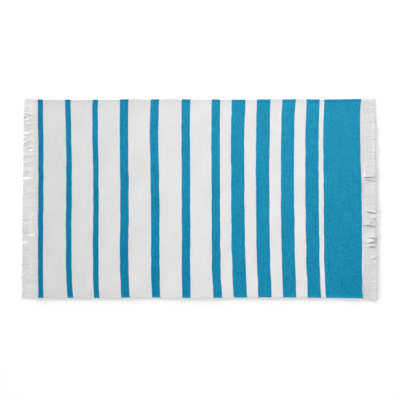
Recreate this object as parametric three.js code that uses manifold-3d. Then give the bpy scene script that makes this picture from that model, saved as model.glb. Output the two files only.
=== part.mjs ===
// A striped hammam towel lying flat, as it comes off the loom: one woven cotton sheet with turned hems
// down its long sides and, at each short end, a flat-woven header whose warp ends run on as a fringe.
// Millimetres, +Z up. The origin is on the floor under the centre of its outline, with +X along its length.
import * as THREE from "three";
import { mergeVertices } from "three/addons/utils/BufferGeometryUtils.js";
import Module from "manifold-3d";

// Driving dimensions
const OVERALL_LENGTH = 1800; // from fringe tip to fringe tip
const TOWEL_WIDTH = 1005;
const WOVEN_LENGTH = 1660; // header to header, without the fringe
const HEADER_WIDTH = 11;
const CLOTH_THICKNESS = 1.9;
const HEADER_THICKNESS = 1.7;
const HEM_WIDTH = 15;
const HEM_RISE = 0.6; // what the turned edge adds to the cloth's thickness
const HEM_STEP = 2; // over which the hem falls to the single cloth
const PIECE_GAP = 0.5; // between flat pieces; the weft's slant narrows it to 0.3 at places
const HALF_WIDTH = TOWEL_WIDTH / 2;

// The blue weft stripes, by their middle and width along the towel
const STRIPES = [
  { at: -806, width: 25 },
  { at: -663, width: 26 },
  { at: -527, width: 26 },
  { at: -382, width: 41 },
  { at: -227, width: 41 },
  { at: -70, width: 41 },
  { at: 82, width: 41 },
  { at: 195, width: 66 },
  { at: 321, width: 66 },
  { at: 447, width: 65 },
  { at: 571, width: 65 },
  { at: 723, width: 188 },
];

// How the weft lies across the towel at places along it, which no loom leaves quite straight: its slant
// (one end ahead of the other), bow (both ends ahead of the middle), swing (an S) and curl (a W)
const WEFT_LAY = [
  { at: -WOVEN_LENGTH / 2, slant: 0, bow: -0.8, swing: -2.8, curl: 1.8 },
  { at: -806, slant: 0.2, bow: -1, swing: -4.5, curl: 0.5 },
  { at: -663, slant: -2, bow: -1.4, swing: -10.8, curl: 8 },
  { at: -527, slant: -2.7, bow: -2.1, swing: -2.4, curl: 13.5 },
  { at: -382, slant: -1.9, bow: 1.2, swing: -3.9, curl: 12 },
  { at: -227, slant: -4.5, bow: 0.6, swing: 2.4, curl: 13 },
  { at: -70, slant: -0.8, bow: 0.6, swing: -0.9, curl: 5.5 },
  { at: 82, slant: -3.2, bow: 4.1, swing: -2.5, curl: 7.5 },
  { at: 195, slant: -4.6, bow: 8.6, swing: -0.3, curl: 7.5 },
  { at: 321, slant: -3.2, bow: 8.4, swing: 0.8, curl: 3.7 },
  { at: 447, slant: -2.4, bow: 8.3, swing: 2.2, curl: 3 },
  { at: 571, slant: -3.7, bow: 9.5, swing: 2.6, curl: 3.5 },
  { at: 630, slant: -3.9, bow: 6, swing: 0.4, curl: 14.5 },
  { at: 817, slant: -6.6, bow: -0.3, swing: 8, curl: 17 },
  { at: WOVEN_LENGTH / 2, slant: -6.8, bow: 0.2, swing: 1.5, curl: 3 },
];

// The fringe: locks of warp ends, roof-shaped in section with their flat side down
const LOCKS_PER_END = 140;
const LOCK_WIDTH = 5.2;
const LOCK_HEIGHT = 1.6;
const LOCK_ROOT_DEPTH = 4; // how far a lock runs into its header
const LOCK_STEPS = 3;
const LOCK_BEND = 0.8; // the share of its lean that a lock's path is bent to before its tip
const FRINGE_OFFSET = 2.7; // the -X fringe is longer than half the length, and the +X one shorter, by this
const TIP_DRAW = 11; // the fringe is cut this much shorter at the +Y side
const TIP_JITTER = 3.5; // uneven cutting from lock to lock
const UNEVEN_STEP = 12.9898; // angle from lock to lock, for a repeatable unevenness
const UNEVEN_SCALE = 43758.5453; // what its sine is multiplied by, so that only the fraction left counts
const CALM_EDGE = 70; // locks nearer a corner than this sway less and less
const PARTING_REACH = 28; // locks this near a parting lean away from it

// Each fringe: its slow sideways sway, where it parts so that the floor shows between the tips, and how its
// -Y corner flares: how far the outermost tip turns out, over what width, and how much shorter it falls
const ENDS = [
  {
    side: -1,
    name: "fringe_left",
    sway: { reach: 3.2, wavelength: 290, phase: 0.7 },
    flare: { reach: 1, over: 60, cut: 2 },
    partings: [
      { at: 402, gap: 4 },
      { at: 335, gap: 6 },
      { at: 252, gap: 4 },
      { at: 232, gap: 3 },
      { at: 105, gap: 5 },
      { at: -184, gap: 3 },
      { at: -219, gap: 6 },
    ],
  },
  {
    side: 1,
    name: "fringe_right",
    sway: { reach: 3.6, wavelength: 330, phase: 2.4 },
    flare: { reach: 10, over: 60, cut: 12 },
    partings: [
      { at: 101, gap: 4 },
      { at: -71, gap: 4 },
      { at: -136, gap: 6 },
      { at: -206, gap: 5 },
      { at: -244, gap: 5 },
      { at: -295, gap: 3 },
    ],
  },
];

// How each long side strays from straight: how far it draws in, and where along the towel
const LONG_SIDES = {
  upper: { draw: 1.5, at: -250, reach: 380 },
  lower: { draw: 4, at: 200, reach: 420 },
};

// The surface: the widest grid cells, and the soft rise and fall of the upper face
const WIDEST_COLUMN = 62;
const CLOTH_ROWS = 18;
const RIPPLES = [
  { rise: 0.3, along: 410, across: 620, phase: 0.4 },
  { rise: 0.2, along: 230, across: -340, phase: 2.1 },
];

const WHITE = new THREE.Color(0xe4e5e4);
const BLUE = new THREE.Color(0x1e8cb2);
const COTTON = { roughness: 0.95, metalness: 0 };
const stripedCotton = new THREE.MeshStandardMaterial({ ...COTTON, vertexColors: true });
const whiteCotton = new THREE.MeshStandardMaterial({ ...COTTON, color: WHITE });

const wasm = await Module();
wasm.setup();

// A list of evenly spaced values from first to last
function spaced(first, last, steps) {
  return Array.from({ length: steps + 1 }, (_, i) => THREE.MathUtils.lerp(first, last, i / steps));
}

// Grid lines along the towel: every stripe's two edges, with wide bands divided evenly
function columnLines() {
  const reach = WOVEN_LENGTH / 2 - HEADER_WIDTH - PIECE_GAP;
  const edges = STRIPES.flatMap(({ at, width }) => [at - width / 2, at + width / 2]);
  edges[0] = -reach;
  edges[edges.length - 1] = reach;
  return edges.flatMap((edge, i) => {
    const from = i ? edges[i - 1] : edge;
    const parts = Math.max(1, Math.ceil((edge - from) / WIDEST_COLUMN));
    return i ? spaced(from, edge, parts).slice(1) : [edge];
  });
}

// Grid lines across the towel, with a pair at each hem's inner edge
function rowLines() {
  const hem = HALF_WIDTH - HEM_WIDTH;
  return [-HALF_WIDTH, -hem, ...spaced(HEM_STEP - hem, hem - HEM_STEP, CLOTH_ROWS), hem, HALF_WIDTH];
}

// How far the weft at x is shifted along the towel at the place y across it
function weftShift(x, y) {
  const t = y / HALF_WIDTH;
  const next = Math.max(1, WEFT_LAY.findIndex(({ at }) => at >= x));
  const [low, high] = WEFT_LAY.slice(next - 1, next + 1);
  const bend = ({ slant, bow, swing, curl }) =>
    slant * t +
    bow * (t ** 2 - 1 / 3) +
    swing * (t ** 3 - (3 / 5) * t) +
    curl * (t ** 4 - (6 / 7) * t ** 2 + 3 / 35);
  return THREE.MathUtils.mapLinear(x, low.at, high.at, bend(low), bend(high));
}

// Where the point (x, y) of the flat rectangle lies once the weft bends and the long sides draw in
function laidOut(x, y) {
  const side = y > 0 ? LONG_SIDES.upper : LONG_SIDES.lower;
  const draw = side.draw * Math.exp(-(((x - side.at) / side.reach) ** 2));
  return [x + weftShift(x, y), y * (1 - draw / HALF_WIDTH)];
}

// Height of the cloth's upper face: the single cloth, its soft ripples, and the doubled hem
function clothTop(x, y) {
  const ripples = RIPPLES.map(
    ({ rise, along, across, phase }) => rise * Math.sin(2 * Math.PI * (x / along + y / across) + phase),
  );
  const single = ripples.reduce((sum, ripple) => sum + ripple, CLOTH_THICKNESS);
  return Math.abs(y) < HALF_WIDTH - HEM_WIDTH ? single : single + HEM_RISE;
}

// A flat slab of unit height on the given grid lines
function gridSlab(columns, rows) {
  const across = columns.length - 1;
  const along = rows.length - 1;
  const slab = new THREE.BoxGeometry(across, along, 1, across, along, 1);
  const points = slab.getAttribute("position");
  for (let i = 0; i < points.count; i++) {
    const x = columns[Math.round(points.getX(i) + across / 2)];
    const y = rows[Math.round(points.getY(i) + along / 2)];
    points.setXYZ(i, x, y, points.getZ(i) + 0.5);
  }
  return slab;
}

// Lays a flat slab out on the floor, with its upper face at the height that top(x, y) gives
function lay(slab, top) {
  const points = slab.getAttribute("position");
  for (let i = 0; i < points.count; i++) {
    const [x, y, z] = [points.getX(i), points.getY(i), points.getZ(i)];
    points.setXYZ(i, ...laidOut(x, y), z * top(x, y));
  }
  return slab;
}

// Colours each face of a flat slab by the stripe that it is woven in
function dye(slab) {
  const faces = slab.toNonIndexed();
  const points = faces.getAttribute("position");
  const colours = new THREE.BufferAttribute(new Float32Array(points.count * 3), 3);
  for (let i = 0; i < points.count; i++) {
    const first = i - (i % 3);
    const middle = (points.getX(first) + points.getX(first + 1) + points.getX(first + 2)) / 3;
    const blue = STRIPES.some(({ at, width }) => Math.abs(middle - at) < width / 2);
    colours.setXYZ(i, ...(blue ? BLUE : WHITE).toArray());
  }
  return faces.setAttribute("color", colours);
}

// One header: a plain white band at the end of the cloth
function headerGeometry({ side }) {
  const outer = (side * WOVEN_LENGTH) / 2;
  const ends = [outer, outer - side * HEADER_WIDTH].sort((a, b) => a - b);
  return lay(gridSlab(ends, rowLines()), () => HEADER_THICKNESS);
}

// A repeatable value from 0 to 1 for lock number i: the fraction left of a sine scaled far up
function uneven(i) {
  const wave = Math.sin(i * UNEVEN_STEP) * UNEVEN_SCALE;
  return wave - Math.floor(wave);
}

// How near y is to the corner that flares: 1 at the corner, 0 past the flare
function cornerShare({ flare }, y) {
  return Math.max(0, 1 - (HALF_WIDTH + y) / flare.over);
}

// Sideways lean of a lock's tip: the fringe's sway, the locks beside a parting turned away from it, and the
// flare
function tipLean(end, y) {
  const { sway, partings, flare } = end;
  const calm = Math.min(1, (HALF_WIDTH - Math.abs(y)) / CALM_EDGE);
  const swayed = sway.reach * Math.sin((2 * Math.PI * y) / sway.wavelength + sway.phase);
  const turned = partings.map(({ at, gap }) => {
    const away = y - at;
    return (Math.sign(away) * gap * Math.exp(-Math.abs(away) / PARTING_REACH)) / 2;
  });
  return calm * turned.reduce((sum, turn) => sum + turn, swayed) - flare.reach * cornerShare(end, y);
}

// How far from the middle of the overall length a lock's tip lies
function tipReach(end, i, y) {
  const drawn = TIP_DRAW * (0.5 + y / TOWEL_WIDTH) + TIP_JITTER * uneven(i);
  return OVERALL_LENGTH / 2 - drawn - end.flare.cut * cornerShare(end, y) ** 2;
}

// One lock, from inside the header to its cut tip: straight out of the weave, then leaning aside
function lockGeometry(end, i) {
  const y = ((i + 0.5) / LOCKS_PER_END - 0.5) * TOWEL_WIDTH;
  const [edgeX, rootY] = laidOut((end.side * WOVEN_LENGTH) / 2, y);
  const rootX = edgeX - end.side * LOCK_ROOT_DEPTH;
  const tipX = end.side * tipReach(end, i, y) - FRINGE_OFFSET;
  const tipY = rootY + tipLean(end, y);
  const third = (tipX - rootX) / 3;
  const path = new THREE.CubicBezierCurve3(
    new THREE.Vector3(rootX, rootY, 0),
    new THREE.Vector3(rootX + third, rootY, 0),
    new THREE.Vector3(tipX - third, THREE.MathUtils.lerp(rootY, tipY, LOCK_BEND), 0),
    new THREE.Vector3(tipX, tipY, 0),
  );
  const section = new THREE.Shape();
  section.moveTo(0, -LOCK_WIDTH / 2);
  section.lineTo(0, LOCK_WIDTH / 2);
  section.lineTo(-LOCK_HEIGHT, 0);
  section.closePath();
  return new THREE.ExtrudeGeometry(section, { steps: LOCK_STEPS, extrudePath: path });
}

// A closed geometry as a solid that can be joined to others: its positions alone, corners merged
function solidOf(geometry) {
  geometry.deleteAttribute("normal");
  geometry.deleteAttribute("uv");
  const merged = mergeVertices(geometry);
  return new wasm.Manifold(
    new wasm.Mesh({
      numProp: 3,
      vertProperties: merged.getAttribute("position").array,
      triVerts: new Uint32Array(merged.index.array),
    }),
  );
}

// A header with all its locks, joined at their roots
function fringeGeometry(end) {
  let fringe = solidOf(headerGeometry(end));
  for (let i = 0; i < LOCKS_PER_END; i++) {
    fringe = fringe.add(solidOf(lockGeometry(end, i)));
  }
  const { vertProperties, triVerts } = fringe.getMesh();
  return new THREE.BufferGeometry()
    .setAttribute("position", new THREE.BufferAttribute(vertProperties, 3))
    .setIndex(new THREE.BufferAttribute(triVerts, 1))
    .toNonIndexed();
}

function named(name, geometry, material) {
  geometry.computeVertexNormals();
  const mesh = new THREE.Mesh(geometry, material);
  mesh.name = name;
  return mesh;
}

const towel = new THREE.Group();
const cloth = lay(dye(gridSlab(columnLines(), rowLines())), clothTop);
towel.add(named("towel_cloth", cloth, stripedCotton));
for (const end of ENDS) {
  towel.add(named(end.name, fringeGeometry(end), whiteCotton));
}

// The origin goes under the centre of the outline
const { x, y } = new THREE.Box3().setFromObject(towel).getCenter(new THREE.Vector3());
towel.children.forEach((mesh) => mesh.geometry.translate(-x, -y, 0));

export default towel;
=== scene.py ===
import bpy
import numpy as np
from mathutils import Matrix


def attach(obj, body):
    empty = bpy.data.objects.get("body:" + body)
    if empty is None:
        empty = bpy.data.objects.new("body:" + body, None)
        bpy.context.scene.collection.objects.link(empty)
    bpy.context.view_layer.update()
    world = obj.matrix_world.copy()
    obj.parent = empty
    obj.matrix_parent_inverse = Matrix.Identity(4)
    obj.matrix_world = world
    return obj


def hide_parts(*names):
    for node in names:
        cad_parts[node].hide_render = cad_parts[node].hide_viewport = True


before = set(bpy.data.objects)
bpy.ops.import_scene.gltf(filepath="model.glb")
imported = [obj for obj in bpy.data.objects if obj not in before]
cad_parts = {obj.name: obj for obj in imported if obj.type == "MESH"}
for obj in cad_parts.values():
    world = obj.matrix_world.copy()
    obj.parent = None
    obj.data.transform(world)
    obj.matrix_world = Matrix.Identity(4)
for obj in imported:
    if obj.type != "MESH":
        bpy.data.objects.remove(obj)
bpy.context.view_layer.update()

# The camera
# The towel is seen square on from straight above, through a long lens high over the floor, so that nothing
# is foreshortened. Each of the picture's 400 by 400 pixels covers PIXEL metres of floor.
PICTURE = 400
PIXEL = 0.005063
CAMERA_HEIGHT = 14.0
AIM_X = 0.0039
AIM_Y = -0.0029

lens = bpy.data.cameras.new("overhead_camera")
lens.lens = lens.sensor_width * CAMERA_HEIGHT / (PICTURE * PIXEL)
overhead = bpy.data.objects.new("overhead_camera", lens)
overhead.location = (AIM_X, AIM_Y, CAMERA_HEIGHT)
bpy.context.scene.collection.objects.link(overhead)
bpy.context.scene.camera = overhead

# The cloth
# One sheet of low-pile cotton, woven white with blue weft stripes that widen along its length. Each long
# side is turned under and sewn down as a narrow hem. It lies as hands have smoothed it, so that no stripe
# is quite straight.
HALF_LENGTH = 0.819
HALF_WIDTH = 0.5025
THICKNESS = 0.0022
EDGE_ROUND = 0.00012
HEM_WIDTH = 0.015
HEM_RISE = 0.0002
HEM_STEP = 0.016
SEAM_FROM_EDGE = 0.0125
SEAM_DEPTH = 0.0002
SEAM_SPREAD = 0.0018

# Where the cloth's middle lies, from the middle of the whole outline
CLOTH_MIDDLE_X = 0.002756
CLOTH_MIDDLE_Y = 0.004057

# Columns: middle of the stripe along the towel, width
STRIPES = np.array([
    (-0.8055, 0.0262),
    (-0.663, 0.0284),
    (-0.527, 0.0284),
    (-0.382, 0.0434),
    (-0.227, 0.0434),
    (-0.070, 0.0434),
    (0.082, 0.0434),
    (0.195, 0.0684),
    (0.321, 0.0684),
    (0.447, 0.0674),
    (0.571, 0.0674),
    (0.7234, 0.1908),
])

# Columns: place along the towel, and the slant, bow, swing and curl of the weft there
WEFT_LAY = np.array([
    (-0.830, 0.0000, -0.0008, -0.0028, 0.0018),
    (-0.806, 0.0002, -0.0010, -0.0045, 0.0005),
    (-0.663, -0.0020, -0.0014, -0.0108, 0.0080),
    (-0.527, -0.0027, -0.0021, -0.0024, 0.0135),
    (-0.382, -0.0019, 0.0012, -0.0039, 0.0120),
    (-0.227, -0.0045, 0.0006, 0.0024, 0.0130),
    (-0.070, -0.0008, 0.0006, -0.0009, 0.0055),
    (0.082, -0.0032, 0.0041, -0.0025, 0.0075),
    (0.195, -0.0046, 0.0086, -0.0003, 0.0075),
    (0.321, -0.0032, 0.0084, 0.0008, 0.0037),
    (0.447, -0.0024, 0.0083, 0.0022, 0.0030),
    (0.571, -0.0037, 0.0095, 0.0026, 0.0035),
    (0.630, -0.0039, 0.0060, 0.0004, 0.0145),
    (0.817, -0.0066, -0.0003, 0.0080, 0.0170),
    (0.830, -0.0068, 0.0002, 0.0015, 0.0030),
])

# Columns: how far a long side draws in, or swells out where that is below nothing, at what place along the
# towel, over what reach
UPPER_SIDE = (
    (0.0010, -0.620, 0.120),
    (-0.0030, -0.325, 0.045),
    (-0.0030, -0.145, 0.050),
    (-0.0010, -0.020, 0.050),
    (0.0012, 0.200, 0.040),
    (-0.0024, 0.385, 0.030),
    (-0.0040, 0.500, 0.035),
)
LOWER_SIDE = (
    (0.0027, -0.290, 0.110),
    (0.0026, 0.330, 0.220),
)

# How far the banded end spreads, from where along the towel, and over what length
BANDED_END = (0.0026, 0.640, 0.200)

# Columns: how much fuller the pile is along the lower side, at what place along the towel, over what reach
LOWER_FULLNESS = (
    (0.0002, -0.700, 0.300),
    (0.0006, 0.060, 0.280),
    (0.0004, 0.720, 0.250),
)
FULL_WIDTH = 0.080

# Columns: rise, wavelength along the towel, wavelength across it, phase
RIPPLES = (
    (0.00028, 0.410, 0.620, 0.4),
    (0.00014, 0.230, -0.340, 2.1),
    (0.00006, 0.117, 0.265, 1.2),
    (0.00004, -0.083, 0.149, 3.9),
    (0.00003, 0.061, 0.094, 5.0),
)

# The mesh has columns along the towel, even rows across it, and closer rows at each hem, by their inset
CLOTH_COLUMNS = 254
EVEN_ROWS = 150
EVEN_ROWS_INSET = 0.022
HEM_ROWS_INSET = (
    0, 0.00002, 0.00004, 0.00008, 0.00012, 0.0005, 0.0035, 0.0068, 0.0094, 0.011, 0.012, 0.0127,
    0.0136, 0.0146, 0.0156, 0.0166, 0.0182,
)
SHARP_ANGLE = 60


def weft_shift(x, y):
    """How far the weft at x is moved along the towel, at y across it. With t from -1 to 1 over the width,
    it is slant times t, plus bow, swing and curl times the polynomials of second, third and fourth degree
    that balance out over the width. The four amounts are read between the rows of the table."""
    t = y / HALF_WIDTH
    slant, bow, swing, curl = (np.interp(x, WEFT_LAY[:, 0], amount) for amount in WEFT_LAY[:, 1:].T)
    s_bend = t ** 3 - 3 / 5 * t
    w_bend = t ** 4 - 6 / 7 * t ** 2 + 3 / 35
    return slant * t + bow * (t ** 2 - 1 / 3) + swing * s_bend + curl * w_bend


def bell_sum(x, table):
    """The sum, at x, of a bell curve for each row of a table: its height, times e to the power of minus the
    square of the distance from its place, counted in reaches."""
    return sum(height * np.exp(-((x - at) / reach) ** 2) for height, at, reach in table)


def eased(share):
    """A share s held between 0 and 1, as 3 s squared less 2 s cubed, which starts and stops gently."""
    share = np.clip(share, 0, 1)
    return share ** 2 * (3 - 2 * share)


def laid_out(x, y):
    """Where a point of the flat rectangle lies: moved along the towel by the weft's shift, and drawn in or
    spread across it in proportion to its distance from the middle, by the bells of its own long side less
    the eased spread of the banded end."""
    spread, start, over = BANDED_END
    side = np.where(y > 0, bell_sum(x, UPPER_SIDE), bell_sum(x, LOWER_SIDE))
    drawn = side - spread * eased((x - start) / over)
    return CLOTH_MIDDLE_X + x + weft_shift(x, y), CLOTH_MIDDLE_Y + y * (1 - drawn / HALF_WIDTH)


def cloth_rise(x, y):
    """Height of the upper face: the single cloth, plus a sine for each ripple, plus the hem's second layer
    eased in over its step, plus the lower side's fuller pile eased out over its width, less a bell-shaped
    groove where the seam pulls the hem down."""
    ripples = sum(
        rise * np.sin(2 * np.pi * (x / along + y / across) + phase)
        for rise, along, across, phase in RIPPLES
    )
    inset = HALF_WIDTH - np.abs(y)
    hem = HEM_RISE * eased((HEM_WIDTH + HEM_STEP / 2 - inset) / HEM_STEP)
    full = np.where(y < 0, bell_sum(x, LOWER_FULLNESS), 0) * eased(1 - inset / FULL_WIDTH)
    seam = SEAM_DEPTH * np.exp(-((inset - SEAM_FROM_EDGE) / SEAM_SPREAD) ** 2)
    return THICKNESS + ripples + hem + full - seam


def ring_faces(rings, points):
    """Corner numbers of the quads between neighbouring rings of points, each ring closed on itself."""
    ring = np.arange(rings - 1)[:, None] * points
    point = np.arange(points)
    after = np.roll(point, -1)
    corners = (ring + point, ring + points + point, ring + points + after, ring + after)
    return np.stack(corners, -1).reshape(-1, 4)


def mesh_piece(name, points, faces, attribute, values):
    """A smooth mesh object from an array of points and a list of faces. One vector for each point is kept
    as an attribute that its material reads."""
    mesh = bpy.data.meshes.new(name)
    mesh.from_pydata(points.reshape(-1, 3).tolist(), [], faces)
    kept = mesh.attributes.new(attribute, "FLOAT_VECTOR", "POINT")
    kept.data.foreach_set("vector", values.astype(np.float32).ravel())
    mesh.shade_smooth()
    mesh.set_sharp_from_angle(angle=np.radians(SHARP_ANGLE))
    piece = bpy.data.objects.new(name, mesh)
    bpy.context.scene.collection.objects.link(piece)
    return piece


def cloth_piece():
    """The sheet: at each column a ring of points runs across the upper face and back along the lower one.
    At a long edge the two faces close on each other along half an ellipse. Each end is a wall from face to
    face, with a triangle at each long edge, where the two faces share a point."""
    inset_rows = np.array(HEM_ROWS_INSET)
    even_rows = np.linspace(EVEN_ROWS_INSET - HALF_WIDTH, HALF_WIDTH - EVEN_ROWS_INSET, EVEN_ROWS)
    rows = np.concatenate((inset_rows - HALF_WIDTH, even_rows, HALF_WIDTH - inset_rows[::-1]))
    ring_y = np.concatenate((rows, rows[-2:0:-1]))
    columns = np.linspace(-HALF_LENGTH, HALF_LENGTH, CLOTH_COLUMNS + 1)
    x, y = np.meshgrid(columns, ring_y, indexing="ij")
    middle = cloth_rise(x, y) / 2
    roundness = np.sqrt(1 - (1 - np.clip((HALF_WIDTH - np.abs(y)) / EDGE_ROUND, 0, 1)) ** 2)
    face = np.where(np.arange(len(ring_y)) < len(rows), 1, -1)
    z = middle * (1 + face * roundness)
    upper = np.arange(len(rows))
    lower = -upper % len(ring_y)
    wall = np.stack((upper[:-1], upper[1:], lower[1:], lower[:-1]), -1)
    far_wall = wall[:, ::-1] + CLOTH_COLUMNS * len(ring_y)
    walls = [list(dict.fromkeys(corners)) for corners in np.concatenate((wall, far_wall)).tolist()]
    faces = ring_faces(*x.shape).tolist() + walls
    points = np.stack((*laid_out(x, y), z), -1)
    return mesh_piece("towel_cloth_woven", points, faces, "weave", np.stack((x, y, z), -1))


class Shade:
    """A socket in a material's node tree. Arithmetic on it adds Math nodes, and node() adds any other."""

    def __init__(self, tree, socket=None):
        self.tree = tree
        self.socket = socket

    def node(self, kind, settings, sockets, out=0):
        """Adds a node of that type, makes its settings, gives its sockets their values or links, and
        returns one of its outputs."""
        made = self.tree.nodes.new(kind)
        for name, value in settings.items():
            setattr(made, name, value)
        for key, value in sockets.items():
            if isinstance(value, Shade):
                self.tree.links.new(value.socket, made.inputs[key])
            else:
                made.inputs[key].default_value = value
        return Shade(self.tree, made.outputs[out])

    def math(self, operation, *values):
        """A Math node on these values."""
        return self.node("ShaderNodeMath", {"operation": operation}, dict(enumerate(values)))

    def __add__(self, other):
        return self.math("ADD", self, other)

    def __radd__(self, other):
        return self.math("ADD", other, self)

    def __sub__(self, other):
        return self.math("SUBTRACT", self, other)

    def __rsub__(self, other):
        return self.math("SUBTRACT", other, self)

    def __mul__(self, other):
        return self.math("MULTIPLY", self, other)

    def __rmul__(self, other):
        return self.math("MULTIPLY", other, self)

    def part(self, index):
        """One part of a vector."""
        return self.node("ShaderNodeSeparateXYZ", {}, {0: self}, out=index)

    def noise(self, scale, detail=2):
        """Smooth noise over a vector, either side of nothing, with the vector's parts first scaled."""
        scaled = self.node("ShaderNodeVectorMath", {"operation": "MULTIPLY"}, {0: self, 1: scale})
        return self.node("ShaderNodeTexNoise", {}, {"Vector": scaled, "Scale": 1, "Detail": detail}) - 0.5

    def bell(self, middle, spread):
        """1 at the middle, falling off on both sides as a bell curve."""
        away = (self - middle) * (1 / spread)
        return self.math("EXPONENT", away * away * -1)

    def mix(self, low, high):
        """The colour that lies this share of the way from one to another. A Mix node takes colours in its
        sockets 6 and 7, and gives one as its output 2."""
        return self.node("ShaderNodeMix", {"data_type": "RGBA"}, {0: self, 6: low, 7: high}, out=2)

    def bump(self, depth, strength):
        """The normal of a surface raised by this share of a depth."""
        return self.node("ShaderNodeBump", {}, {"Height": self, "Distance": depth, "Strength": strength})

    def feed(self, shader, name):
        """Links this socket to one of the shader's."""
        self.tree.links.new(self.socket, shader.inputs[name])


COTTON_ROUGHNESS = 0.92
COTTON_FINISH = {
    "Specular IOR Level": 0.04,
    "Sheen Weight": 0.02,
    "Sheen Roughness": 0.6,
}


def new_cotton(name, attribute):
    """A matt cotton with a soft sheen: the material, its shader, and the attribute its pattern follows."""
    cotton = bpy.data.materials.new(name)
    cotton.use_nodes = True
    shader = cotton.node_tree.nodes["Principled BSDF"]
    for socket, value in COTTON_FINISH.items():
        shader.inputs[socket].default_value = value
    start = Shade(cotton.node_tree)
    pattern = start.node("ShaderNodeAttribute", {"attribute_name": attribute}, {}, out="Vector")
    return cotton, shader, pattern


# The darker and brighter ends of each colour. The shares that mix them carry the weave's own mottling, and
# painted light and shade as well.
BLUE_DEEP = (0.0008, 0.165, 0.307, 1)
BLUE_BRIGHT = (0.018, 0.286, 0.463, 1)
BLUE_BASE = 0.46
WHITE_DARK = (0.52, 0.52, 0.52, 1)
WHITE_BRIGHT = (0.76, 0.76, 0.76, 1)
WHITE_BASE = 0.69

# Noise in the weave: how often each kind varies along, across and through the cloth in a metre
WANDER_SCALE = (7, 11, 0)
FRAY_SCALE = (650, 650, 0)
FLECK_SCALE = (110, 75, 0)
SLUB_SCALE = (300, 16, 0)
MOTTLE_SCALE = (26, 20, 0)
BLOTCH_SCALE = (8, 6, 0)
FUZZ_SCALE = (620, 520, 0)
FINE_DETAIL = 3

# How far the stripes' edges wander and fray, how the rows of pile are spaced, waver and stand out, how far
# in from the long sides the white carries painted shade, and the length and spread of the seam's stitches
EDGE_WANDER = 0.008
EDGE_FRAY = 0.002
ROW_SPACING = 0.0022
ROW_WAVER = 2.5
ROW_FUZZ = 0.6
ROW_RELIEF = 0.12
EDGE_PAINTED_SHADE_REACH = 0.035
STITCH_LENGTH = 0.0036
STITCH_SPREAD = 0.0007
TUFT_DEPTH = 0.0012
TUFT_STRENGTH = 0.35

# What shades the cloth. Columns: how far each takes the blue, and the white, from its darker to its brighter
# colour, how far it raises the pile, and how far it roughens it. Raised tufts and slubs are rubbed smoother.
# The rows for along, along_squared and across are painted light, and those for seam, hem_across and edge
# are painted shade and light at the long sides.
SHADING = {
    # painted light: the cloth is darker towards the left end and brighter towards the right
    "along": (0.355, 0.257, 0, 0),
    "along_squared": (-0.281, -0.213, 0, 0),
    # painted light: the cloth is brighter towards the far side
    "across": (0.435, 0.14, 0, 0),
    "fleck": (1.25, 0.15, 0.6, -0.2),
    "slub": (0.8, 0.3, 0.3, -0.2),
    "mottle": (0.25, 0, 0, 0),
    "blotch": (0.4, 0.3, 0, 0),
    "pile": (0.5, 0.3, 1.2, -0.3),
    # painted shade: the blue is darker along the seam's groove
    "seam": (-0.17, 0, 0, 0),
    "stitch": (0.4, 0.4, 0.5, -0.1),
    # painted light and shade: the blue hem is darker along the far side and lighter along the near side
    "hem_across": (-0.4, 0, 0, 0),
    # painted shade: the white is darker within a few centimetres of both long sides
    "edge": (0, -0.14, 0, 0),
}


def shaded_by(patterns, column):
    """The sum of the patterns, each times its amount in one column of the table, where it has one."""
    return sum(patterns[name] * amounts[column] for name, amounts in SHADING.items() if amounts[column])


def striped_cotton():
    """Blue where the place along the cloth, wandering by slow noise and fraying by fine noise, lies inside
    a stripe, and white elsewhere. Each is mixed from a darker and a brighter colour by a base plus the
    table's amounts of the place, the noise, the pile, the seam, its stitches, the hem and the edge. The
    amounts of the place are painted light, brighter towards the right end and the far side, and those of
    the seam, the hem and the edge are painted shade and light at the long sides. The pile is fuzz with
    rows along the weft, a sine that slubs waver. The stitches are a sine along the seam. With the flecks
    and slubs they make the bump, and the cotton is smoother where they raise it."""
    cotton, shader, weave = new_cotton("striped_cotton", "weave")
    along = weave.part(0)
    across = weave.part(1)
    place = along + weave.noise(WANDER_SCALE) * EDGE_WANDER + weave.noise(FRAY_SCALE) * EDGE_FRAY
    dyed = sum(weave.math("COMPARE", place, middle, width / 2) for middle, width in STRIPES.tolist())
    slub = weave.noise(SLUB_SCALE)
    fuzz = weave.noise(FUZZ_SCALE, FINE_DETAIL)
    rows = weave.math("SINE", along * (2 * np.pi / ROW_SPACING) + slub * ROW_WAVER)
    from_edge = HALF_WIDTH - across.math("ABSOLUTE", across)
    stitches = weave.math("SINE", along * (2 * np.pi / STITCH_LENGTH))
    patterns = {
        # painted light: slopes along and across the cloth
        "along": along,
        "along_squared": along * along,
        "across": across,
        "fleck": weave.noise(FLECK_SCALE, FINE_DETAIL),
        "slub": slub,
        "mottle": weave.noise(MOTTLE_SCALE),
        "blotch": weave.noise(BLOTCH_SCALE),
        "pile": fuzz + rows * (fuzz * ROW_FUZZ + ROW_RELIEF),
        # painted shade along the seam's groove
        "seam": from_edge.bell(SEAM_FROM_EDGE, SEAM_SPREAD),
        "stitch": from_edge.bell(SEAM_FROM_EDGE, STITCH_SPREAD) * stitches,
        # painted light and shade on the blue hem
        "hem_across": from_edge.math("LESS_THAN", from_edge, HEM_WIDTH) * across,
        # painted shade towards the long sides
        "edge": from_edge.bell(0, EDGE_PAINTED_SHADE_REACH),
    }
    blue = (BLUE_BASE + shaded_by(patterns, 0)).mix(BLUE_DEEP, BLUE_BRIGHT)
    white = (WHITE_BASE + shaded_by(patterns, 1)).mix(WHITE_DARK, WHITE_BRIGHT)
    dyed.mix(white, blue).feed(shader, "Base Color")
    (COTTON_ROUGHNESS + shaded_by(patterns, 3)).feed(shader, "Roughness")
    shaded_by(patterns, 2).bump(TUFT_DEPTH, TUFT_STRENGTH).feed(shader, "Normal")
    return cotton


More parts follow.
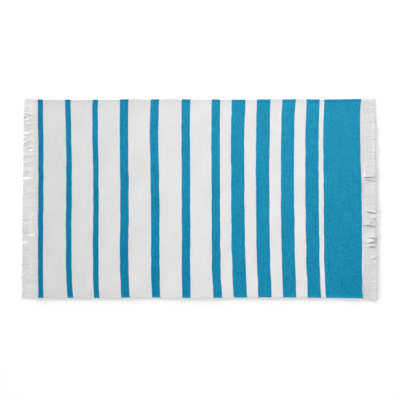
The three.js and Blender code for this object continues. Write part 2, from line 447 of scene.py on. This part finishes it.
cloth = cloth_piece()
cloth.data.materials.append(striped_cotton())
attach(cloth, "root")
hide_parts("towel_cloth")

# The headers and fringes
# Past the last stripe at each end comes a narrow white header, where the warp lies over a few thick picks,
# and then the warp ends run on as a fringe of loose two-ply yarns. They lie on the floor in locks that
# sway, part and fold over each other.
WOVEN_HALF_LENGTH = 0.830
HEADER_THICKNESS = 0.0010
HEADER_TUCK = 0.001
HEADER_STEPS = 200
HEADER_PICKS = 4
FIRST_PICK = 0.0016
PICK_SPACING = 0.0026
PICK_RADIUS = 0.0005
PICK_RISE = 0.0007

# The section of the header's strip. Columns: share of its half width, share of its half thickness
HEADER_SECTION = np.array([
    (1, 0),
    (0.98, 0.6),
    (0.9, 1),
    (-0.9, 1),
    (-0.98, 0.6),
    (-1, 0),
    (-0.98, -0.6),
    (-0.9, -1),
    (0.9, -1),
    (0.98, -0.6),
])

# The yarns: their number, section, twist and cut ends
LOCKS = 140
YARNS_PER_LOCK = 3
YARNS = LOCKS * YARNS_PER_LOCK
YARN_STEPS = 28
YARN_SIDES = 6
YARN_RADIUS = 0.00105
YARN_SPREAD = 1.1
YARN_SAG = 0.50
PLY_DEPTH = 0.25
PLY_TURN = 0.021
FRINGE_REACH = 0.903
TIP_DRAW = 0.0125
TIP_JITTER = 0.0025
TIP_TAPER = 0.7

# How the yarns leave the header, lean, gather in locks, stray and wave
YARN_HEADER_HEIGHT = 0.0015
ROOT_FALL = 0.625
LEAN_CURVE = 2.4
FLARE_RUN = 0.35
CALM_EDGE = 0.070
LOCK_GATHER = 0.35
YARN_STRAY = 0.0010
YARN_WAVE = 0.0008
WAVE_CYCLES = (1, 2.5)
LOOSE_SHARE = 0.06
LOOSE_STRAY = 0.003
LOOSE_LIFT = 0.0004
CURL_EASE = 0.30

# How far the partings reach, how their folds rise and fall, and how much painted shade a fold puts on the
# yarns under it
HEADER_HOLD = 0.12
TAME_REACH = 0.006
PARTING_REACH = 0.020
FOLD_REACH = 0.022
FOLD_EDGE = 0.002
UNDER_FOLD = 0.0020
FOLD_SHADE = 4900

# The partings of each fringe. Columns: where it parts, how wide the slit opens, how high the lock beyond it
# folds over, the shares of the way to the tips where the slit starts and ends, and how far the fold drifts
# aside. A slit that ends past 1 is open at the tips.
LEFT_PARTINGS = (
    (0.420, 0.010, 0, 0.20, 0.58, 0),
    (0.4045, 0.020, 0, 0.54, 1.02, 0),
    (0.3325, 0.019, 0, 0.40, 1.50, 0),
    (0.316, 0.017, 0, 0.75, 1.60, 0),
    (0.290, 0.019, 0, 0.78, 1.60, 0),
    (0.252, 0.015, 0, 0.12, 0.68, 0),
    (0.227, 0.012, 0, 0.72, 1.60, 0),
    (0.142, 0.009, 0, 0.78, 1.60, 0),
    (0.1075, 0.015, 0, 0.22, 1.25, 0),
    (0.038, 0.003, 0, 0.00, 1.20, 0),
    (-0.114, 0.004, 0, 0.00, 1.20, 0),
    (-0.1794, 0.017, 0, -0.10, 0.78, 0),
    (-0.220, 0.019, 0, 0.45, 1.60, 0),
    (-0.306, 0.010, 0, 0.76, 1.60, 0),
    (-0.342, 0.008, 0, 0.25, 0.62, 0),
    (-0.375, 0.007, 0, 0.20, 0.58, 0),
)
RIGHT_PARTINGS = (
    (0.338, 0.001, 0.0012, 0.78, 1.60, 0),
    (0.324, 0.001, 0.0012, 0.75, 1.60, 0),
    (0.297, 0.001, 0.0012, 0.68, 1.60, 0),
    (0.233, 0.001, 0.0012, 0.70, 1.60, 0),
    (0.218, 0.001, 0.0011, 0.75, 1.60, 0),
    (0.207, 0.001, 0.0011, 0.75, 1.60, 0),
    (0.1100, 0.001, 0.0018, -0.30, 1.05, 0.002),
    (0.0955, 0.001, 0.0014, -0.25, 1.35, -0.004),
    (-0.0680, 0.001, 0.0026, 0.10, 1.35, -0.014),
    (-0.0965, 0.001, 0.0020, 0.60, 1.50, -0.010),
    (-0.1350, 0.001, 0.0020, -0.10, 1.30, -0.008),
    (-0.1945, 0.001, 0.0015, 0.20, 1.40, -0.007),
    (-0.2200, 0.001, 0.0017, 0.08, 1.10, 0.018),
    (-0.2392, 0.001, 0.0018, 0.25, 1.02, -0.003),
    (-0.303, 0.001, 0.0011, 0.45, 1.05, 0),
)

# Each end. Its sway is how far the fringe sways aside, over what length, from what phase. Its flare is how
# far the outermost yarns turn out at the near and at the far corner, over what width, and how much shorter
# they fall at the near one. Its curl is how far the tips rise off the floor.
LEFT_END = {
    "side": -1,
    "partings": LEFT_PARTINGS,
    "sway": (0.0032, 0.290, 0.7),
    "flare": (-0.001, 0.0042, 0.110, 0.002),
    "curl": 0,
    "seed": 11,
}
RIGHT_END = {
    "side": 1,
    "partings": RIGHT_PARTINGS,
    "sway": (0.0036, 0.330, 2.4),
    "flare": (0.008, 0.0014, 0.060, 0.007),
    "curl": 0.0018,
    "seed": 12,
}


def parted(out, flat_y, partings):
    """How the partings move the yarns at shares of the way to their tips: how far each turns aside, how high
    it is lifted, and how high the fold is that shades it. A slit opens as half a sine from its start to its
    end, eased in from the header, which holds the yarns. A yarn turns away from it by half the gap, less
    with distance. Past an edge that drifts, the fold lifts it, less with distance, and a bell-shaped strip
    short of that edge lies in the fold's shade."""
    aside = np.zeros_like(out)
    lift = np.zeros_like(out)
    shade = np.zeros_like(out)
    held = eased(out / HEADER_HOLD)
    for at, gap, fold, start, end, drift in partings:
        opening = np.sin(np.pi * np.clip((out - start) / (end - start), 0, 1)) * held
        away = flat_y[:, None] - at
        aside += np.sign(away) * gap / 2 * np.exp(-np.abs(away) / PARTING_REACH) * opening
        past = away - drift * (out - 0.5)
        folded = fold * opening
        lift += folded * eased(past / FOLD_EDGE + 0.5) * np.exp(-np.maximum(past, 0) / FOLD_REACH)
        shade = np.maximum(shade, folded * np.exp(-((past + UNDER_FOLD) / UNDER_FOLD) ** 2))
    return aside, lift, shade


def yarn_paths(side, partings, sway, flare, curl, chance):
    """Centre lines of an end's yarns, one row each, and the height of the fold that shades each point. A
    yarn runs straight through the header. From there it leans aside by a cubic, as far as its lock sways
    and gathers and it strays, and near a corner it turns out over its first stretch. A sine wave of its own
    grows along it, and the partings turn and lift it. Beside a parting it strays and waves less. It falls
    from the header to the floor, and its tip curls up, but not at the far corner."""
    number = np.arange(YARNS)
    lock = number // YARNS_PER_LOCK
    flat_y = ((number + 0.5) / YARNS - 0.5) * 2 * HALF_WIDTH
    lock_y = ((lock + 0.5) / LOCKS - 0.5) * 2 * HALF_WIDTH
    places = np.array(partings)[:, 0]
    tame = 1 - np.exp(-((flat_y[:, None] - places) / TAME_REACH) ** 2).max(axis=1)
    calm = np.minimum(1, (HALF_WIDTH - np.abs(lock_y)) / CALM_EDGE)

    sway_reach, sway_length, sway_phase = sway
    swayed = sway_reach * np.sin(2 * np.pi * lock_y / sway_length + sway_phase)
    loose = chance.random(YARNS) < LOOSE_SHARE
    stray = chance.normal(0, np.where(loose, LOOSE_STRAY, YARN_STRAY))
    lean = calm * (swayed + stray * tame) + (lock_y - flat_y) * LOCK_GATHER
    near_turn, far_turn, flare_width, shorter = flare
    near_corner = np.clip(1 - (HALF_WIDTH + lock_y) / flare_width, 0, 1)
    far_corner = np.clip(1 - (HALF_WIDTH - lock_y) / flare_width, 0, 1)
    turned = far_turn * far_corner - near_turn * near_corner

    uneven = (chance.random(LOCKS)[lock] + chance.random(YARNS)) / 2
    drawn = TIP_DRAW * (0.5 + flat_y / (2 * HALF_WIDTH)) + TIP_JITTER * uneven + shorter * near_corner ** 2
    tip_x = side * (FRINGE_REACH - drawn)
    inner_x, _ = laid_out(np.full(YARNS, side * HALF_LENGTH), flat_y)
    edge_x, root_y = laid_out(np.full(YARNS, side * WOVEN_HALF_LENGTH), flat_y)
    x = np.linspace(inner_x, tip_x, YARN_STEPS + 1, axis=1)
    out = np.clip((x - edge_x[:, None]) / (tip_x - edge_x)[:, None], 0, 1)

    cycles = chance.uniform(*WAVE_CYCLES, (YARNS, 1))
    phase = chance.uniform(0, 2 * np.pi, (YARNS, 1))
    wave = YARN_WAVE * tame[:, None] * out * np.sin(2 * np.pi * cycles * out + phase)
    aside, folded, shade = parted(out, flat_y, partings)
    leaning = lean[:, None] * (LEAN_CURVE * out ** 2 + (1 - LEAN_CURVE) * out ** 3)
    y = root_y[:, None] + leaning + wave + turned[:, None] * eased(out / FLARE_RUN) + aside

    lying = YARN_RADIUS * (1 + PLY_DEPTH) * YARN_SAG
    fallen = YARN_HEADER_HEIGHT + (lying - YARN_HEADER_HEIGHT) * eased(out / ROOT_FALL)
    lifted = np.where(loose, LOOSE_LIFT, 0)[:, None] * np.sin(np.pi * out)
    curled = (curl * eased((HALF_WIDTH - flat_y) / CURL_EASE))[:, None] * out ** 2
    z = fallen + lifted + curled + folded
    return np.stack((x, y, z), -1), shade


def yarn_sections(paths, chance):
    """Sections of the yarns, with two lobes for the two plies: the radius times 1 plus a depth times the
    cosine of twice the angle, less a turn that grows along the yarn. They are spread wider than high, and
    the cut tip is drawn in."""
    angle = np.arange(YARN_SIDES) / YARN_SIDES * 2 * np.pi
    length = np.abs(paths[..., 0] - paths[:, :1, 0])
    turn = 2 * np.pi * length / PLY_TURN + chance.uniform(0, 2 * np.pi, (len(paths), 1))
    lobe = YARN_RADIUS * (1 + PLY_DEPTH * np.cos(2 * (angle - turn[..., None])))
    lobe[:, -1] *= TIP_TAPER
    return np.stack((YARN_SPREAD * lobe * np.cos(angle), YARN_SAG * lobe * np.sin(angle)), -1)


def header_strip(side):
    """The header's flat strip: a path across the towel along its middle, and a section as wide as the weave
    is there. Its inner edge is tucked a little into the cloth's end, so that no gap shows."""
    flat_y = np.linspace(-HALF_WIDTH, HALF_WIDTH, HEADER_STEPS + 1)
    inner, y = laid_out(np.full_like(flat_y, side * (HALF_LENGTH - HEADER_TUCK)), flat_y)
    outer, _ = laid_out(np.full_like(flat_y, side * WOVEN_HALF_LENGTH), flat_y)
    path = np.stack(((inner + outer) / 2, y, np.full_like(y, HEADER_THICKNESS / 2)), -1)
    half_width = np.abs(outer - inner) / 2
    half_size = np.stack((half_width, np.full_like(y, HEADER_THICKNESS / 2)), -1)
    return path, half_size[:, None] * HEADER_SECTION


def header_picks(side):
    """The header's thick picks: round threads across the towel, each over one yarn and under the next by a
    cosine that makes half a turn from yarn to yarn and from pick to pick."""
    number = np.arange(2 * YARNS + 1) / 2
    pick = np.arange(HEADER_PICKS)[:, None]
    flat_x, flat_y = np.broadcast_arrays(
        side * (HALF_LENGTH + FIRST_PICK + pick * PICK_SPACING), (number / YARNS - 0.5) * 2 * HALF_WIDTH
    )
    x, y = laid_out(flat_x, flat_y)
    z = YARN_HEADER_HEIGHT + PICK_RISE * np.cos(np.pi * (number - 0.5 + pick))
    angle = np.arange(YARN_SIDES) / YARN_SIDES * 2 * np.pi
    section = PICK_RADIUS * np.stack((np.cos(angle), np.sin(angle)), -1)
    return np.stack((x, y, z), -1), np.broadcast_to(section, (*x.shape, YARN_SIDES, 2))


def swept(path, section):
    """A section carried along a path: at each point of the path, the section's first measure is laid off
    level and square to the path, and its second downwards and square to both."""
    ahead = np.gradient(path, axis=-2)
    ahead /= np.linalg.norm(ahead, axis=-1, keepdims=True)
    level = np.cross((0, 0, 1), ahead)
    level /= np.linalg.norm(level, axis=-1, keepdims=True)
    upright = np.cross(ahead, level)
    aside = section[..., :1] * level[..., None, :]
    down = section[..., 1:] * upright[..., None, :]
    return path[..., None, :] + aside - down


def tube_faces(tubes, rings, points, first):
    """Faces of several closed tubes, whose points are numbered from the first: the quads between their
    rings, and a flat face over each end."""
    start = first + np.arange(tubes)[:, None, None] * rings * points
    sides = (start + ring_faces(rings, points)).reshape(-1, 4)
    cap = np.arange(points)
    near_caps = start[:, 0] + cap
    far_caps = start[:, 0] + (rings - 1) * points + cap[::-1]
    return sides.tolist() + near_caps.tolist() + far_caps.tolist()


def fringe_piece(name, side, partings, sway, flare, curl, seed):
    """One end's yarns and header in a single mesh. Each point of a yarn keeps its share of the way to the
    tip, its yarn's random tone less a painted shade where a fold lies over it, and its lock's tone. The
    points of the strip and the picks keep no share and middle tones."""
    chance = np.random.default_rng(seed)
    paths, shade = yarn_paths(side, partings, sway, flare, curl, chance)
    yarns = swept(paths, yarn_sections(paths, chance))
    picks = swept(*header_picks(side))
    strip = swept(*header_strip(side))[None]
    tubes = (yarns, picks, strip)
    faces = []
    first = 0
    for tube in tubes:
        faces += tube_faces(*tube.shape[:3], first)
        first += tube[..., 0].size
    kept = np.empty_like(yarns)
    kept[..., 0] = np.linspace(0, 1, YARN_STEPS + 1)[:, None]
    # painted shade: a yarn's random tone is lowered where a fold lies over it
    kept[..., 1] = (chance.random((YARNS, 1)) - FOLD_SHADE * shade)[..., None]
    kept[..., 2] = np.repeat(chance.random(LOCKS), YARNS_PER_LOCK)[:, None, None]
    points = np.concatenate([tube.reshape(-1, 3) for tube in tubes])
    values = np.full_like(points, 0.5)
    values[:, 0] = 0
    values[:kept[..., 0].size] = kept.reshape(-1, 3)
    return mesh_piece(name, points, faces, "yarn", values)


# The darker and brighter ends of the fringe's white. The share that mixes them carries the yarns' own tones,
# and painted light and shade as well.
FRINGE_DARK = (0.22, 0.22, 0.22, 1)
FRINGE_BRIGHT = (0.76, 0.76, 0.755, 1)
FIBRE_SCALE = (160, 1700, 1700)
FIBRE_DEPTH = 0.0004
FIBRE_STRENGTH = 0.5
FIBRE_ROUGHNESS = -0.3

# How bright the fringe's white is: a base, and what the tones of yarn and lock, the fibres, the header, a
# metre along the towel, a metre across it, and the roots add. What the roots add grows from the left tips.
# The slopes along and across and what the roots add are painted light: brighter towards the right end and
# the far side, and on the right end brighter at the roots and darker at the tips. The yarn's tone also
# carries painted shade under folds.
FRINGE_BASE = 0.736
YARN_TONE_AND_PAINTED_SHADE = 0.117
LOCK_TONE = 0.117
FIBRE_TONE = 0.233
HEADER_TONE = 0.07
HEADER_MIDDLE = 0.04
HEADER_SPREAD = 0.12
ALONG_PAINTED_LIGHT = 0.035
ACROSS_PAINTED_LIGHT = 0.14
ROOT_PAINTED_LIGHT = 0.11
LEFT_TIPS = -0.9


def white_cotton():
    """White mixed from a darker and a brighter colour. The share of the brighter one is a base plus the
    tones of the yarn and its lock, noise drawn out as fibres along the yarns, a bell at the header, slopes
    along and across the towel, and a fall from root to tip. The slopes and the fall are painted light, and
    the yarn's tone carries painted shade under folds. The fibres make the bump, and are smoother where they
    are raised."""
    cotton, shader, yarn = new_cotton("white_cotton", "yarn")
    place = yarn.node("ShaderNodeTexCoord", {}, {}, out="Object")
    along = place.part(0)
    to_tip = yarn.part(0)
    fibres = place.noise(FIBRE_SCALE, FINE_DETAIL)
    header = to_tip.bell(HEADER_MIDDLE, HEADER_SPREAD)
    root = (0.5 - to_tip) * (along - LEFT_TIPS)
    share = FRINGE_BASE + yarn.part(1) * YARN_TONE_AND_PAINTED_SHADE + yarn.part(2) * LOCK_TONE + fibres * FIBRE_TONE
    # painted light: the fringe is brighter towards the right end and the far side
    share = share + along * ALONG_PAINTED_LIGHT + place.part(1) * ACROSS_PAINTED_LIGHT + header * HEADER_TONE
    # painted light and shade: on the right end the roots are brighter and the tips darker
    share = share + root * ROOT_PAINTED_LIGHT
    share.mix(FRINGE_DARK, FRINGE_BRIGHT).feed(shader, "Base Color")
    (COTTON_ROUGHNESS + fibres * FIBRE_ROUGHNESS).feed(shader, "Roughness")
    fibres.bump(FIBRE_DEPTH, FIBRE_STRENGTH).feed(shader, "Normal")
    return cotton


fringe_cotton = white_cotton()
left_fringe = fringe_piece("fringe_left_yarns", **LEFT_END)
right_fringe = fringe_piece("fringe_right_yarns", **RIGHT_END)
for fringe, node in ((left_fringe, "fringe_left"), (right_fringe, "fringe_right")):
    fringe.data.materials.append(fringe_cotton)
    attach(fringe, "root")
    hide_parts(node)

# The floor and the light
# A plain white floor under soft studio light: a pale room all round, a broad lamp high overhead, and two
# low distant lamps, from the left and from the far side. They throw soft shadows to the right and the near
# side.
FLOOR_HALF = 30.0
FLOOR_DROP = 0.0002
FLOOR_WHITE = (0.90, 0.90, 0.90, 1)
FLOOR_ROUGHNESS = 0.9
FLOOR_SPECULAR = 0.1
FLOOR_CORNERS = ((-1, -1), (1, -1), (1, 1), (-1, 1))
ROOM_WHITE = (1, 1, 1, 1)
ROOM_STRENGTH = 0.275

# Heights, headings and spreads in degrees
LEFT_LAMP_STRENGTH = 8.5
LEFT_LAMP_HEIGHT = 8.5
LEFT_LAMP_HEADING = -91
LEFT_LAMP_SPREAD = 11
LEFT_LAMP_PLACE = (-2, 0, 1)
FAR_LAMP_STRENGTH = 7.38
FAR_LAMP_HEIGHT = 8.2
FAR_LAMP_HEADING = -176
FAR_LAMP_SPREAD = 15
FAR_LAMP_PLACE = (0, 2, 1)
OVERHEAD_LAMP_POWER = 40
OVERHEAD_LAMP_SIZE = 2.5
OVERHEAD_LAMP_PLACE = (0.5, 1.2, 5.0)

floor_points = [(x * FLOOR_HALF, y * FLOOR_HALF, -FLOOR_DROP) for x, y in FLOOR_CORNERS]
floor_mesh = bpy.data.meshes.new("floor")
floor_mesh.from_pydata(floor_points, [], [(0, 1, 2, 3)])
floor = bpy.data.objects.new("floor", floor_mesh)
bpy.context.scene.collection.objects.link(floor)
floor_paint = bpy.data.materials.new("floor_paint")
floor_paint.use_nodes = True
floor_shader = floor_paint.node_tree.nodes["Principled BSDF"]
floor_shader.inputs["Base Color"].default_value = FLOOR_WHITE
floor_shader.inputs["Roughness"].default_value = FLOOR_ROUGHNESS
floor_shader.inputs["Specular IOR Level"].default_value = FLOOR_SPECULAR
floor_mesh.materials.append(floor_paint)


def lamp(name, kind, settings, place, turn):
    """A lamp of that kind at a place, turned by those angles in degrees."""
    light = bpy.data.lights.new(name, kind)
    for key, value in settings.items():
        setattr(light, key, value)
    placed = bpy.data.objects.new(name, light)
    placed.location = place
    placed.rotation_euler = np.radians(turn)
    bpy.context.scene.collection.objects.link(placed)


lamp(
    "left_lamp", "SUN", {"energy": LEFT_LAMP_STRENGTH, "angle": np.radians(LEFT_LAMP_SPREAD)},
    LEFT_LAMP_PLACE, (90 - LEFT_LAMP_HEIGHT, 0, LEFT_LAMP_HEADING),
)
lamp(
    "far_lamp", "SUN", {"energy": FAR_LAMP_STRENGTH, "angle": np.radians(FAR_LAMP_SPREAD)},
    FAR_LAMP_PLACE, (90 - FAR_LAMP_HEIGHT, 0, FAR_LAMP_HEADING),
)
lamp(
    "overhead_lamp", "AREA", {"energy": OVERHEAD_LAMP_POWER, "size": OVERHEAD_LAMP_SIZE},
    OVERHEAD_LAMP_PLACE, (0, 0, 0),
)
room = bpy.data.worlds.new("pale_room")
room.use_nodes = True
room_light = room.node_tree.nodes["Background"]
room_light.inputs["Color"].default_value = ROOM_WHITE
room_light.inputs["Strength"].default_value = ROOM_STRENGTH
bpy.context.scene.world = room
bpy.context.scene.view_settings.view_transform = "Standard"
